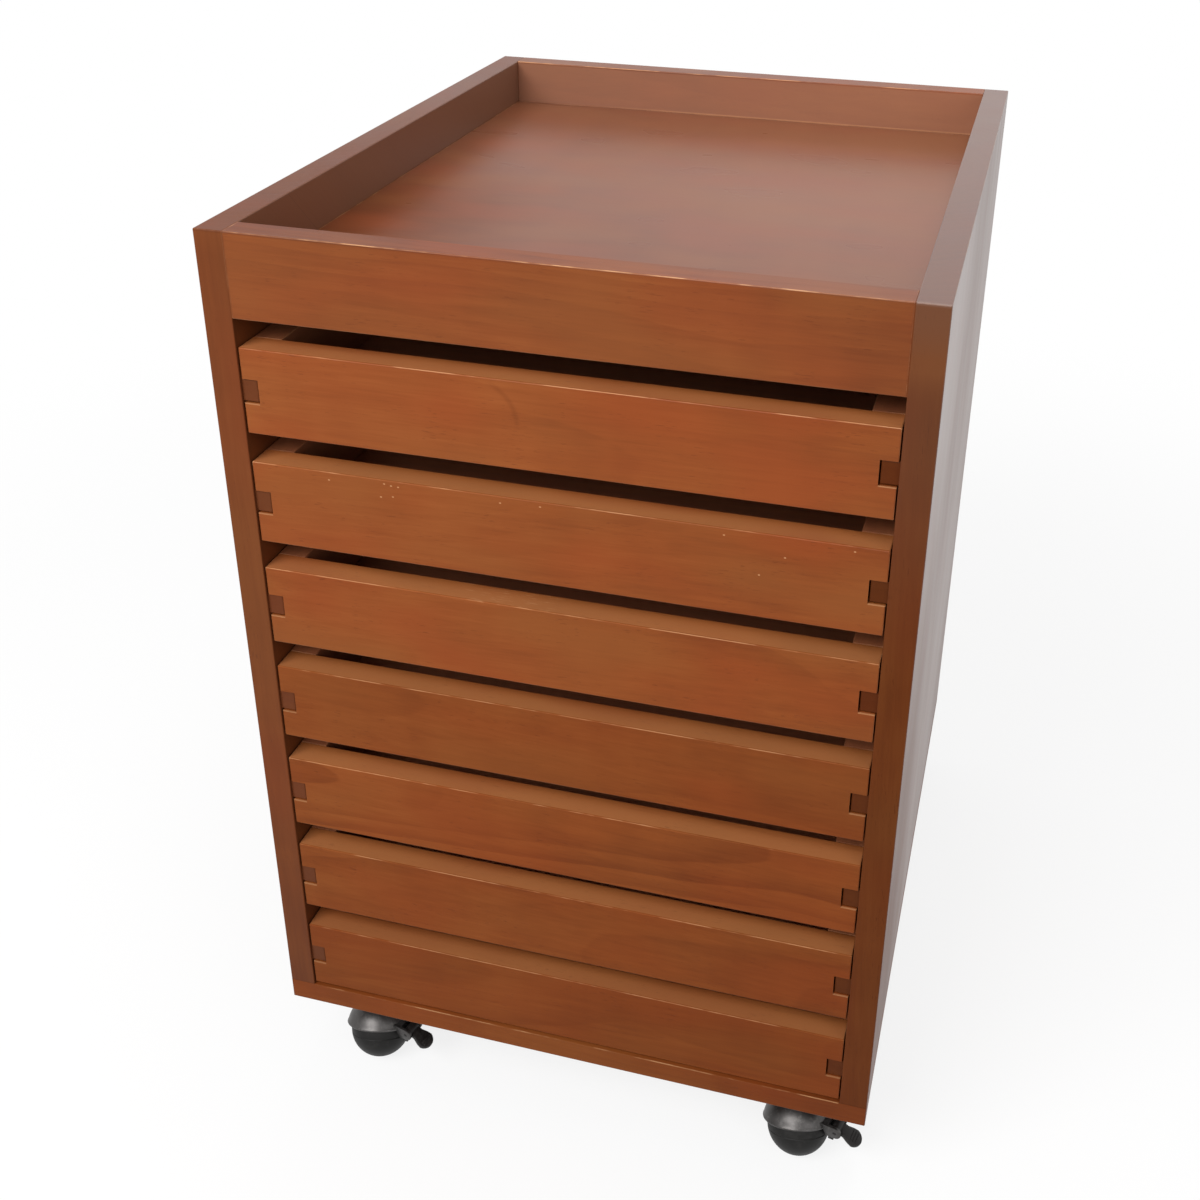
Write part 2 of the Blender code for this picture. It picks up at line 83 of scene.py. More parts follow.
class Finish:
    # one material and its nodes
    def __init__(self, name):
        self.material = bpy.data.materials.new(name)
        self.material.use_nodes = True
        self.web = self.material.node_tree
        self.shader = self.web.nodes["Principled BSDF"]
        self.place = self.node("ShaderNodeTexCoord").outputs["Object"]

    def node(self, kind, settings=None, sockets=None):
        made = self.web.nodes.new(kind)
        for name, value in (settings or {}).items():
            if name == "stops":
                self.setStops(made.color_ramp, value)
            else:
                setattr(made, name, value)
        self.feed(made, sockets or {})
        return made

    def feed(self, made, sockets):
        for name, value in sockets.items():
            if isinstance(value, Number):
                value = value.socket
            if isinstance(value, bpy.types.NodeSocket):
                self.web.links.new(value, made.inputs[name])
            elif isinstance(value, tuple) and made.inputs[name].type == "RGBA":
                made.inputs[name].default_value = (*value, 1.0)
            else:
                made.inputs[name].default_value = value

    def setStops(self, ramp, stops):
        while len(ramp.elements) < len(stops):
            ramp.elements.new(1.0)
        for element, (position, colour) in zip(ramp.elements, stops):
            element.position = position
            element.color = (*colour, 1.0)

    def split(self, vector):
        made = self.node("ShaderNodeSeparateXYZ", sockets={0: vector})
        return [Number(self, socket) for socket in made.outputs]

    def vector(self, x, y, z):
        return self.node("ShaderNodeCombineXYZ", sockets={0: x, 1: y, 2: z}).outputs[0]

    def noise(self, vector, scale=1.0, detail=2.0, roughness=0.5):
        sockets = {"Vector": vector, "Scale": scale, "Detail": detail, "Roughness": roughness}
        return Number(self, self.node("ShaderNodeTexNoise", sockets=sockets).outputs[0])

    def mix(self, factor, first, second, blend="MIX"):
        settings = {"data_type": "RGBA", "blend_type": blend}
        return self.node("ShaderNodeMix", settings, {0: factor, 6: first, 7: second}).outputs[2]

    def between(self, factor, first, second):
        # a number that goes from first to second
        return first + (second - first) * factor

    def bump(self, height, distance, strength):
        sockets = {"Height": height, "Distance": distance, "Strength": strength}
        return self.node("ShaderNodeBump", sockets=sockets).outputs["Normal"]

    def dress(self, colour, roughness, normal=None, metallic=0.0):
        self.feed(self.shader, {"Base Color": colour, "Roughness": roughness, "Metallic": metallic})
        if normal is not None:
            self.feed(self.shader, {"Normal": normal})
        return self.material


# Wood: a solid texture of growth rings round a pith beside the board, so that faces and
# ends of a board belong together. Lengths are in metres. A grain pair says how dense a
# texture is along the board and across it, and a span pair where it starts and ends.
woodLook = {
    "dark": (0.135, 0.0285, 0.0065),
    "middle": (0.262, 0.0665, 0.0150),
    "light": (0.372, 0.1120, 0.0285),
    "red": (0.290, 0.0580, 0.0135),
    "olive": (0.272, 0.0840, 0.0205),
    # pale is mixed in as painted sheen and painted light on faces that would otherwise render too dark
    "pale": (0.265, 0.138, 0.092),
    # the pale colour of worn arrises, which also paints their highlights and the sheen of upper faces
    "edgeWearAndHighlight": (0.60, 0.30, 0.14),
    "pithAside": (0.045, 0.11),
    "pithAbove": (-0.035, 0.035),
    "start": (-9.0, 9.0),
    "leanAside": (-0.07, 0.07),
    "leanAbove": (-0.05, 0.05),
    "ringSpacing": 0.0078,
    "wander": 0.013,
    "bendGrain": (3.4, 8.0),
    "bendDepth": 3.0,
    "swayGrain": (12.0, 45.0),
    "swayDepth": 0.16,
    "lateSpan": (0.10, 0.96),
    "ringEndSpan": (1.0, 0.94),
    "faintestRing": 0.2,
    "shade": 0.52,
    "fibreWidth": 0.0010,
    "fibreLength": 0.042,
    "fibreContrast": 0.26,
    "fleckWidth": 0.0006,
    "fleckLength": 0.0060,
    "fleckDepth": 0.42,
    "fleckSpan": (0.70, 0.80),
    "thinGrain": (22.0, 55.0),
    "thinSpan": (0.42, 0.60),
    "blotchLength": 0.075,
    "blotchWidth": 0.034,
    "blotchContrast": 0.38,
    "mottleContrast": 0.20,
    "mottleGrain": (42.0, 10.0),
    "hueShift": (7.3, 2.1, 5.9),
    "redSpan": (0.46, 0.74),
    "oliveSpan": (0.54, 0.28),
    "streakLength": 0.055,
    "streakWidth": 0.0034,
    "streakContrast": 0.34,
    "arrisWidth": 0.0006,
    "rubbedGrain": (26.0, 60.0),
    "rubbedSpan": (0.44, 0.62),
    "leastRubbed": 0.08,
    "upperSpan": (0.003, 0.0018),
    "lowerEdgeWearAndHighlight": 0.25,
    "endDepth": 0.0009,
    "endShade": 0.35,
    "runnerEndSpan": (0.0012, 0.0006),
    "runnerShade": 0.22,
    "roughness": 0.36,
    "fibreDull": 0.08,
    "blotchDull": 0.10,
    "wornDull": 0.10,
    "coatRoughness": 0.34,
    "gloss": 0.13,
    "fibreHeight": 0.5,
    "ringHeight": 0.3,
    "fleckHeight": 0.6,
    "bumpDistance": 0.0003,
    "bumpStrength": 0.22,
}
randomWood = random.Random(11)
boardGap = 0.0003  # between the boards of the carcass


def grained(axes, density):
    # a place whose texture is as dense as a grain pair says
    along, across, up = axes
    return along.finish.vector(along * density[0], across * density[1], up * density[1])


def growthRings(finish, along, across, up):
    # late wood, from 0 to 1: each ring darkens slowly and ends at once
    look = woodLook
    axes = (along, across, up)
    bend = finish.noise(grained(axes, look["bendGrain"]), roughness=0.45) - 0.5
    sway = finish.noise(grained(axes, look["swayGrain"]), detail=1.0) - 0.5
    radius = (across * across + up * up) ** 0.5
    bent = radius + bend * look["wander"] * look["bendDepth"] + sway * look["wander"] * look["swayDepth"]
    turn = bent / look["ringSpacing"]
    late = turn.part().ramp(*look["lateSpan"]) * turn.part().ramp(*look["ringEndSpan"])
    year = finish.node("ShaderNodeTexWhiteNoise", {"noise_dimensions": "1D"}, {"W": turn.whole()})
    return late * finish.between(Number(finish, year.outputs[0]), look["faintestRing"], 1.0)


def arrisDistance(finish, box):
    # on the board's surface, how far the nearest arris is
    gaps = []
    for value, low, high in zip(finish.split(finish.place), *box):
        gaps.append((value - low).least(high - value))
    first, second, third = gaps
    return first.least(second).most(first.most(second).least(third)), gaps


def woodFinish(name, box, grain, tone, redness=0.42, edgeWearAndHighlightShare=0.6, figure=0.12,
               roughness=woodLook["roughness"], gloss=woodLook["gloss"],
               arrisWidth=woodLook["arrisWidth"], relief=1.0, flecks=1.0, streaks=1.0,
               runner=None, paintedPaleLight=None, rubs=None, lines=None, marks=None, coat=None, lift=None):
    # the pale mix (painted sheen and painted light), rubs, lines, marks, coat and lift (painted light and
    # shade) are functions of the place on the board
    look = woodLook
    finish = Finish(name)
    x, y, z = finish.split(finish.place)
    order = {"x": (0, 1, 2), "y": (1, 0, 2), "z": (2, 0, 1)}[grain]
    places = finish.split(finish.place)
    along, across, up = [places[index] for index in order]
    # each board is cut from its own place in a tree
    pith = (randomWood.uniform(*look["pithAside"]), randomWood.uniform(*look["pithAbove"]))
    start = randomWood.uniform(*look["start"])
    lean = (randomWood.uniform(*look["leanAside"]), randomWood.uniform(*look["leanAbove"]))
    middle = (box[0] + box[1]) / 2
    if runner:
        # the runner strips lie along y on a board whose grain stands up
        strip = (abs(x) - runner["bed"]).ramp(0.0001, -0.0001)
        along = finish.between(strip, along, y)
        across = finish.between(strip, across, x)
        up = finish.between(strip, up, z)
    along = along - middle[order[0]] + start
    across = across - middle[order[1]] + pith[0] + (along - start) * lean[0]
    up = up - middle[order[2]] + pith[1] + (along - start) * lean[1]

    late = growthRings(finish, along, across, up)
    axes = (along, across, up)
    fine = 1.0 / look["fibreWidth"]
    threads = finish.vector(along / look["fibreLength"], across * fine, up * fine)
    fibre = finish.noise(threads, detail=3.0, roughness=0.62)
    tight = 1.0 / look["fleckWidth"]
    dashes = finish.vector(along / look["fleckLength"], across * tight, up * tight)
    thinned = finish.noise(grained(axes, look["thinGrain"]))
    fleck = finish.noise(dashes, detail=0.0).ramp(*look["fleckSpan"]) * thinned.ramp(*look["thinSpan"])
    wide = finish.vector(along / look["blotchLength"], across / look["blotchWidth"],
                         up / look["blotchWidth"])
    blotch = finish.noise(wide, detail=1.6, roughness=0.45)
    mottle = finish.noise(grained(axes, look["mottleGrain"]), detail=1.4)
    narrow = finish.vector(along / look["streakLength"], across / look["streakWidth"],
                           up / look["streakWidth"])
    streak = finish.noise(narrow, roughness=0.6)
    shifted = finish.node("ShaderNodeVectorMath", {"operation": "ADD"}, {0: wide, 1: look["hueShift"]})
    hue = finish.noise(shifted.outputs[0], scale=0.8, detail=1.2, roughness=0.4)

    shade = look["shade"] + (fibre - 0.5) * look["fibreContrast"] - late * figure
    shade = shade + (blotch - 0.5) * look["blotchContrast"] + (mottle - 0.5) * look["mottleContrast"]
    shade = shade + (streak - 0.5) * (look["streakContrast"] * streaks)
    # painted light and shade: the lift raises the shade where a face should look lit and lowers it where it
    # should look shaded
    if lift:
        shade = shade + lift(x, y, z)
    stops = [(0.0, look["dark"]), (0.5, look["middle"]), (1.0, look["light"])]
    ramp = finish.node("ShaderNodeValToRGB", {"stops": stops}, {0: shade})
    colour = finish.mix(hue.ramp(*look["redSpan"]) * redness, ramp.outputs[0], look["red"])
    colour = finish.mix(hue.ramp(*look["oliveSpan"]) * redness, colour, look["olive"])
    # dark marks: a real bent mark on the first front, and a painted shadow on the right rim
    if marks:
        colour = finish.mix(marks(x, y, z), colour, look["dark"])
    colour = finish.mix(fleck * (look["fleckDepth"] * flecks), colour, look["dark"])

    nearest, gaps = arrisDistance(finish, box)
    ends = gaps[order[0]].ramp(look["endDepth"], look["endDepth"] * 0.4)
    if runner:
        ends = ends.most(strip * (y - runner["front"]).ramp(*look["runnerEndSpan"]))
        colour = finish.mix(strip * look["runnerShade"], colour, look["dark"])
    colour = finish.mix(ends * look["endShade"], colour, look["dark"])
    rubbed = finish.noise(grained(axes, look["rubbedGrain"]), detail=3.0, roughness=0.7)
    # pale arris lines, partly real wear and partly a painted highlight, strongest on the upper arrises where
    # the light falls
    edge = nearest.ramp(arrisWidth * 0.95, arrisWidth * 0.5)
    upper = (box[1].z - z).ramp(*look["upperSpan"], look["lowerEdgeWearAndHighlight"], 1.0)
    edgeWearAndHighlight = edge * rubbed.ramp(*look["rubbedSpan"], look["leastRubbed"], 1.0) * upper * edgeWearAndHighlightShare
    if rubs:
        edgeWearAndHighlight = edgeWearAndHighlight * rubs(x, y, z)
    if lines:
        edgeWearAndHighlight = edgeWearAndHighlight.most(lines(x, y, z) * edgeWearAndHighlightShare)
    # painted sheen and painted light: the pale colour mixed in where a face should look lit
    if paintedPaleLight:
        colour = finish.mix(paintedPaleLight(x, y, z), colour, look["pale"])
    colour = finish.mix(edgeWearAndHighlight.limited(), colour, look["edgeWearAndHighlight"])
    colour = finish.mix(1.0, colour, (tone, tone, tone), "MULTIPLY")

    dull = roughness + (fibre - 0.5) * (look["fibreDull"] * relief)
    dull = dull + (blotch - 0.5) * look["blotchDull"] + edgeWearAndHighlight * look["wornDull"]
    height = fibre * look["fibreHeight"] - late * (look["ringHeight"] * relief)
    height = height - fleck * (look["fleckHeight"] * flecks)
    if coat:
        finish.feed(finish.shader, {"Coat Weight": coat(x, y, z), "Coat Roughness": look["coatRoughness"]})
    finish.shader.inputs["Specular IOR Level"].default_value = gloss
    bent = finish.bump(height, look["bumpDistance"], look["bumpStrength"] * relief)
    return finish.dress(colour, dull, bent)


def paint(piece, material):
    piece.data.materials.clear()
    piece.data.materials.append(material)


# Where the looks of the carcass fade out, as start and end in metres from a face or an edge
fadeLook = {
    "wallFoot": (-0.004, 0.002),
    "wallFace": (0.0006, 0.0001),
    "rim": (-0.002, -0.0004),
    "frontEdge": (0.002, 0.001),
    "top": (-0.055, -0.006),
    "sideFoot": (0.002, 0.004),
    "outerFace": (-0.0007, -0.0003),
    "sideJoint": (0.0, -0.001),
    "sideJointShare": 1.3,
    "upperPaintedLight": (-0.24, -0.06, 0.0, 0.26),
}
runnerSetBack = 0.002
# Clouds in the lacquer of the right side's outer face, and how much duller it is low down
sheenLook = {"grain": (11.0, 2.6), "clouds": (0.32, 0.60, 0.76, 1.0), "whole": 0.62, "front": (-0.02, -0.22),
             "low": (0.22, 0.62, -0.6, 0.24), "foot": (0.26, 0.10), "footDepth": 0.16}
# Sheen of the tray's floor from left to right, and its dull front left corner
floorLook = {"across": (-0.15, 0.17, 0.45, 0.66), "left": (-0.05, -0.15), "front": (0.05, -0.09),
             "dull": 0.38}
# Painted highlight along the foot of the back wall, where it meets the tray's floor
paintedFootHighlightLook = {"height": 0.0007, "width": (0.0006, 0.0002), "wall": (0.001, 0.0005), "span": (-0.15, -0.02),
                "depth": 0.5}
# Painted shadow: a dark line along the inner arris of the right rim, where its inner face lies in shade
paintedRimShadowLook = {"width": (0.0009, 0.0003), "rim": (-0.0014, -0.0008), "near": (-0.205, -0.19),
             "far": (-0.075, -0.10)}


def dressBoards():
    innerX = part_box("tray_front_board")[1].x + boardGap
    outerX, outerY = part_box("right_side_board")[1].x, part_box("right_side_board")[0].y
    floorTop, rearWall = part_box("tray_floor")[1].z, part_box("tray_back_board")[0].y
    sideFoot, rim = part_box("left_side_board")[0].z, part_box("right_side_board")[1].z
    fade = fadeLook

    def onTrayWall(x, y, z):
        return (z - floorTop).ramp(*fade["wallFoot"]) * (abs(x) - innerX).ramp(*fade["wallFace"])

    def onRim(z):
        return (z - rim).ramp(*fade["rim"])

    def onFrontEdge(y):
        return (y - outerY).ramp(*fade["frontEdge"])

    def nearTop(y, z):
        # the upper end of the front edge
        return (z - rim).ramp(*fade["top"]) * onFrontEdge(y)

    def awayFromFoot(x, y, z):
        return (z - sideFoot).ramp(*fade["sideFoot"])

    def outerSheen(y, z):
        # the lacquer is cloudy, and shines least low down at the front
        look = sheenLook
        place = y.finish.vector(0.0, y * look["grain"][0], z * look["grain"][1])
        cloudy = y.finish.noise(place).ramp(*look["clouds"])
        low = y.ramp(*look["front"]) * z.ramp(*look["low"]) - z.ramp(*look["foot"]) * look["footDepth"]
        return (low + look["whole"]) * cloudy

    def floorSheen(x, y, z):
        look = floorLook
        return x.ramp(*look["across"]) - x.ramp(*look["left"]) * y.ramp(*look["front"]) * look["dull"]

    def betweenSides(x, y, z):
        return (abs(x) - innerX).ramp(*fade["sideJoint"]) * fade["sideJointShare"]

    def paintedFootHighlight(x, y, z):
        look = paintedFootHighlightLook
        foot = abs(z - floorTop - look["height"]).ramp(*look["width"]) * (y - rearWall).ramp(*look["wall"])
        return foot * x.ramp(*look["span"]) * look["depth"]

    def paintedRimShadow(x, y, z):
        look = paintedRimShadowLook
        along = y.ramp(*look["near"]) * y.ramp(*look["far"])
        return (x - innerX).ramp(*look["width"]) * (z - rim).ramp(*look["rim"]) * along

    settings = {
        # painted shade: the bottom board darker towards its right end
        "bottom_board": dict(
            grain="x", tone=0.82, edgeWearAndHighlightShare=0.75, gloss=0.07, rubs=betweenSides,
            lift=lambda x, y, z: x.ramp(0.02, 0.21, 0.04, -0.26)),
        # painted sheen and light: the tray wall pale and lifted; painted shade: the rim and the lower part
        # darker
        "left_side_board": dict(
            grain="z", tone=0.66, edgeWearAndHighlightShare=0.35, figure=0.08, gloss=0.09, rubs=awayFromFoot,
            paintedPaleLight=lambda x, y, z: (onTrayWall(x, y, z) * y.ramp(-0.2, 0.2, 0.5, 0.75)).most(0.1),
            lift=lambda x, y, z: onTrayWall(x, y, z) * 1.2 - onRim(z) * 0.2 + z.ramp(0.08, 0.28, -0.22, 0.0),
            coat=lambda x, y, z: (onRim(z) * y.ramp(-0.18, 0.12, 0.0, 0.22)).most(
                onTrayWall(x, y, z) * y.ramp(-0.2, 0.2, 0.3, 0.6))),
        # painted sheen: the upper part of the front edge pale and lifted; painted shadow along the rim's
        # inner arris
        "right_side_board": dict(
            grain="z", tone=0.49, edgeWearAndHighlightShare=0.5, figure=0.16, gloss=0.065, rubs=awayFromFoot, marks=paintedRimShadow,
            lift=lambda x, y, z: nearTop(y, z) * 1.5,
            paintedPaleLight=lambda x, y, z: (nearTop(y, z) * 0.5).most(
                (z - rim).ramp(*fade["upperPaintedLight"]) * onFrontEdge(y)),
            coat=lambda x, y, z: (outerSheen(y, z) * (x - outerX).ramp(*fade["outerFace"])).most(
                onRim(z) * 0.95)),
        # painted shade: darker at the right end, and the rim darker towards the left
        "tray_front_board": dict(
            grain="x", tone=0.87, edgeWearAndHighlightShare=1.0, gloss=0.10, rubs=betweenSides,
            lift=lambda x, y, z: x.ramp(0.13, 0.19, 0.0, -0.16) - onRim(z) * x.ramp(-0.19, 0.12, 0.36, 0.12),
            coat=lambda x, y, z: (onRim(z) * x.ramp(-0.19, 0.19, 0.0, 0.34)).most(onFrontEdge(y) * 0.22)),
        # painted sheen: the wall pale below its rim, with a painted highlight along its foot; painted light
        # and shade: paler to the right, the rim darker
        "tray_back_board": dict(
            grain="x", tone=1.10, edgeWearAndHighlightShare=0.6, gloss=0.16, rubs=betweenSides, lines=paintedFootHighlight,
            paintedPaleLight=lambda x, y, z: 0.62 - onRim(z) * 0.4,
            lift=lambda x, y, z: x.ramp(-0.19, 0.19, -0.25, 0.25) - onRim(z) * 0.6),
        # painted sheen: paler towards the back; painted light and shade: darker at the left and the front,
        # paler at the right
        "tray_floor": dict(
            grain="x", tone=0.76, edgeWearAndHighlightShare=0.55, roughness=0.29, gloss=0.05, relief=0.0, figure=0.0, flecks=0.0,
            streaks=0.25, arrisWidth=0.0011, coat=floorSheen,
            paintedPaleLight=lambda x, y, z: y.ramp(0.06, 0.23, 0.08, 0.34),
            lift=lambda x, y, z: x.ramp(-0.19, 0.19, -0.14, 0.12) + y.ramp(0.08, -0.12, 0.0, -0.2)),
    }
    for name, values in settings.items():
        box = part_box(name)
        if "side_board" in name:
            values["runner"] = {"bed": innerX, "front": box[0].y + runnerSetBack}
        if name == "tray_floor":
            # its tongue lies in the walls' groove, so its edges are those of the field
            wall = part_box("tray_front_board")[1].y + boardGap
            box = (Vector((-innerX, wall, box[0].z)), Vector((innerX, -wall, box[1].z)))
        paint(nodes[name], woodFinish(name, box, **values))
    print("carcass boards finished")


# How each drawer front looks: tone, share of red and olive, strength of the growth rings, gloss. The tones
# fall towards the lower drawers, partly the woods' own tone and partly painted shade.
drawerLook = {
    1: (1.02, 0.50, 0.10, 0.17),
    2: (0.98, 0.60, 0.08, 0.15),
    3: (0.98, 0.60, 0.10, 0.13),
    4: (0.86, 0.40, 0.10, 0.08),
    5: (0.92, 0.40, 0.26, 0.08),
    6: (0.86, 0.38, 0.22, 0.07),
    7: (0.80, 0.35, 0.12, 0.06),
}
# Small chips in the second front, from its middle and its lower edge, and their radius
chipLook = {
    "radius": 0.0009,
    "flatness": 1.5,
    "depth": 1.2,
    "places": ((-0.1397, 0.0489), (-0.1045, 0.0514), (-0.1002, 0.0507), (-0.0958, 0.0505), (-0.1071, 0.0425),
               (-0.0995, 0.0436), (-0.0330, 0.0497), (-0.0089, 0.0508), (0.1325, 0.0407), (0.1185, 0.0275),
               (0.1703, 0.0506), (0.0979, 0.0496)),
}
# The bent mark in the first front: centre and radius of its arc, its width and depth
markLook = {"centre": (-0.045, 0.028), "radius": 0.0237, "width": 0.0026, "depth": 0.28,
            "right": (0.004, 0.014), "above": (-0.004, 0.004)}
# Painted highlights: pale lines on a notch's ledge and cheek. The ledge is measured from the front's lower
# edge and the bed of the notch from its end.
notchLook = {"ledge": 0.0192, "bed": 0.0095, "ledgeWidth": (0.0005, 0.0002), "ledgeEnd": (-0.0006, 0.0),
             "ledgeDepth": 0.7, "cheekInset": 0.0003, "cheekWidth": (0.0004, 0.0001), "cheekMiddle": 0.0075,
             "cheekSpan": (0.0082, 0.0076), "cheekDepth": 0.2, "facing": (0.0012, 0.0006)}
# Fine pale scratches on the third front's upper edge
scratchLook = {"grain": (90.0, 900.0), "span": (0.52, 0.70), "left": (-0.075, -0.05), "right": (0.01, -0.015),
               "edge": (-0.001, -0.0004), "depth": 0.8}
# Painted light on a front's upper face, paler towards the face, and painted shading, lighter at the left and
# darker at the right
upperLook = {"edge": (-0.0006, -0.0002), "behindFace": (0.0006, 0.0012), "edgeWearAndHighlight": (0.019, 0.006, 0.05, 0.30),
             "liftEdge": (-0.0012, -0.0003), "lift": (0.019, 0.003, 0.5, 1.0),
             "across": (-0.19, 0.19, 0.07, -0.09)}
# The inner parts of a drawer: grain, tone, roughness and share of the pale mix. The high tones and the pale
# mix paint light into the dark gaps between the fronts.
innerLook = {
    "left_side": ("y", 1.2, 0.44, 0.3),
    "right_side": ("y", 1.2, 0.44, 0.3),
    "back": ("x", 0.95, 0.46, 0.35),
    "bottom": ("x", 1.5, 0.5, 0.4),
}


def dressDrawers():
    for number, (tone, redness, figure, gloss) in drawerLook.items():
        name = "drawer_%d_" % number
        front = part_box(name + "front")
        low, high, face = front[0].z, front[1].z, front[0].y
        ledge, bed = low + notchLook["ledge"], front[1].x - notchLook["bed"]

        # pale lines: painted highlights on the notches' ledges and cheeks, real chips in the second front,
        # real scratches on the third, and painted sheen on the upper face
        def lines(x, y, z):
            look = notchLook
            shelf = abs(z - ledge).ramp(*look["ledgeWidth"]) * (abs(x) - bed).ramp(*look["ledgeEnd"])
            shelf = shelf * look["ledgeDepth"]
            cheek = abs(abs(x) - bed + look["cheekInset"]).ramp(*look["cheekWidth"])
            cheek = cheek * abs(z - ledge - look["cheekMiddle"]).ramp(*look["cheekSpan"])
            found = shelf.most(cheek * look["cheekDepth"]) * (y - face).ramp(*look["facing"])
            if number == 2:
                for chipX, chipZ in chipLook["places"]:
                    across, up = x - chipX, (z - low - chipZ) * chipLook["flatness"]
                    far = (across * across + up * up) ** 0.5
                    chip = far.ramp(chipLook["radius"], chipLook["radius"] * 0.4)
                    found = found.most(chip * chipLook["depth"])
            if number == 3:
                look = scratchLook
                place = x.finish.vector(x * look["grain"][0], y * look["grain"][1], 0.0)
                scratch = x.finish.noise(place, roughness=0.6).ramp(*look["span"])
                area = x.ramp(*look["left"]) * x.ramp(*look["right"]) * (z - high).ramp(*look["edge"])
                found = found.most(scratch * area * look["depth"])
            # painted sheen: the upper face paler towards the front
            look = upperLook
            top = (z - high).ramp(*look["edge"]) * (y - face).ramp(*look["behindFace"])
            return found.most(top * (y - face).ramp(*look["edgeWearAndHighlight"]))

        # painted light and shade: the upper face lifted paler, and the front darker towards the right
        def paintedFrontShading(x, y, z):
            look = upperLook
            top = (z - high).ramp(*look["liftEdge"]) * (y - face).ramp(*look["behindFace"])
            return top * (y - face).ramp(*look["lift"]) + x.ramp(*look["across"])

        def bentMark(x, y, z):
            look = markLook
            across, up = x - look["centre"][0], z - low - look["centre"][1]
            far = abs((across * across + up * up) ** 0.5 - look["radius"])
            fade = across.ramp(*look["right"]) * up.ramp(*look["above"])
            return far.ramp(look["width"], 0.0) * fade * look["depth"]

        material = woodFinish(name + "front", front, "x", tone, redness, edgeWearAndHighlightShare=0.7, figure=figure, gloss=gloss,
                              lines=lines, lift=paintedFrontShading, marks=bentMark if number == 1 else None)
        paint(nodes[name + "front"], material)
        # painted light: the inner boards are made pale so that the gaps between the fronts look lit
        for part, (grain, partTone, dull, pale) in innerLook.items():
            material = woodFinish(name + part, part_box(name + part), grain, partTone, redness=0.25, edgeWearAndHighlightShare=0.2,
                                  roughness=dull, paintedPaleLight=lambda x, y, z: pale)
            paint(nodes[name + part], material)
    print("drawers finished")


smoothAngle = 35.0


def meshOf(name, shape):
    mesh = bpy.data.meshes.new(name)
    shape.to_mesh(mesh)
    shape.free()
    return mesh


def showObject(name, data):
    shown = bpy.data.objects.new(name, data)
    bpy.context.scene.collection.objects.link(shown)
    return shown


def addPiece(name, shape, material, body, replaced=(), placed=Matrix()):
    bmesh.ops.transform(shape, matrix=placed, verts=shape.verts)
    bmesh.ops.recalc_face_normals(shape, faces=shape.faces)
    mesh = meshOf(name, shape)
    mesh.shade_smooth()
    mesh.set_sharp_from_angle(angle=math.radians(smoothAngle))
    mesh.materials.append(material)
    piece = showObject(name, mesh)
    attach(piece, body)
    if replaced:
        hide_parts(*replaced)


def joinShape(shape, extra, placed=Matrix()):
    bmesh.ops.transform(extra, matrix=placed, verts=extra.verts)
    carrier = meshOf("carrier", extra)
    shape.from_mesh(carrier)
    bpy.data.meshes.remove(carrier)


def rotation(degrees, axis):
    return Matrix.Rotation(math.radians(degrees), 4, axis)


def arc(centre, radius, start, end, steps):
    # points of a profile, angles in degrees
    points = []
    for step in range(steps + 1):
        angle = math.radians(start + (end - start) * step / steps)
        points.append((centre[0] + radius * math.cos(angle), centre[1] + radius * math.sin(angle)))
    return points


def spunShape(profile, steps=64):
    # spins (radius, height) points about Z
    shape = bmesh.new()
    chain = [shape.verts.new((radius, 0.0, height)) for radius, height in profile]
    for first, second in zip(chain, chain[1:]):
        shape.edges.new((first, second))
    bmesh.ops.spin(shape, geom=shape.verts[:] + shape.edges[:], cent=(0, 0, 0), axis=(0, 0, 1),
                   angle=math.tau, steps=steps, use_merge=True)
    bmesh.ops.remove_doubles(shape, verts=shape.verts, dist=0.000002)
    bmesh.ops.recalc_face_normals(shape, faces=shape.faces)
    return shape


def roundEdges(shape, edges, width, segments):
    bmesh.ops.bevel(shape, geom=edges, offset=width, offset_type="OFFSET", affect="EDGES",
                    segments=segments, profile=0.5, material=-1, clamp_overlap=True)


def easeEdges(shape, width, angle=30):
    limit = math.radians(angle)
    roundEdges(shape, [edge for edge in shape.edges if edge.calc_face_angle(0.0) > limit], width, 2)


def rodShape(profile, steps):
    # the profile runs from the lower end to the waist
    return spunShape(profile + [(radius, -height) for radius, height in reversed(profile)], steps)


def extrudeFace(shape, face):
    # the corners of the new face
    grown = bmesh.ops.extrude_face_region(shape, geom=[face])["geom"]
    return [item for item in grown if isinstance(item, bmesh.types.BMVert)]


def blockShape(low, high, width=0.0):
    shape = bmesh.new()
    size = Vector(high) - Vector(low)
    placed = Matrix.Translation((Vector(low) + Vector(high)) / 2) @ Matrix.Diagonal((*size, 1.0))
    bmesh.ops.create_cube(shape, size=1.0, matrix=placed)
    if width:
        easeEdges(shape, width)
    return shape


def slabShape(outline, thickness, width=0.0):
    # a flat outline of (x, z) points, given a thickness along Y
    shape = bmesh.new()
    face = shape.faces.new([shape.verts.new((x, -thickness / 2, z)) for x, z in outline])
    bmesh.ops.translate(shape, vec=(0, thickness, 0), verts=extrudeFace(shape, face))
    bmesh.ops.recalc_face_normals(shape, faces=shape.faces)
    if width:
        easeEdges(shape, width)
    return shape


# Screws: domed or flat heads with a cross recess
screwLook = {
    "headRadius": 0.0036,
    "headHeight": 0.0017,
    "dome": ((0.96, 0.0), (1.0, 0.25), (0.93, 0.62), (0.76, 0.88)),  # shares of radius and height
    "recess": 0.0019,
    "recessDepth": 0.0012,
    "cross": (1.0, 0.48, 0.36, 0.48),
    "taper": 0.7,
    "steps": 16,
}


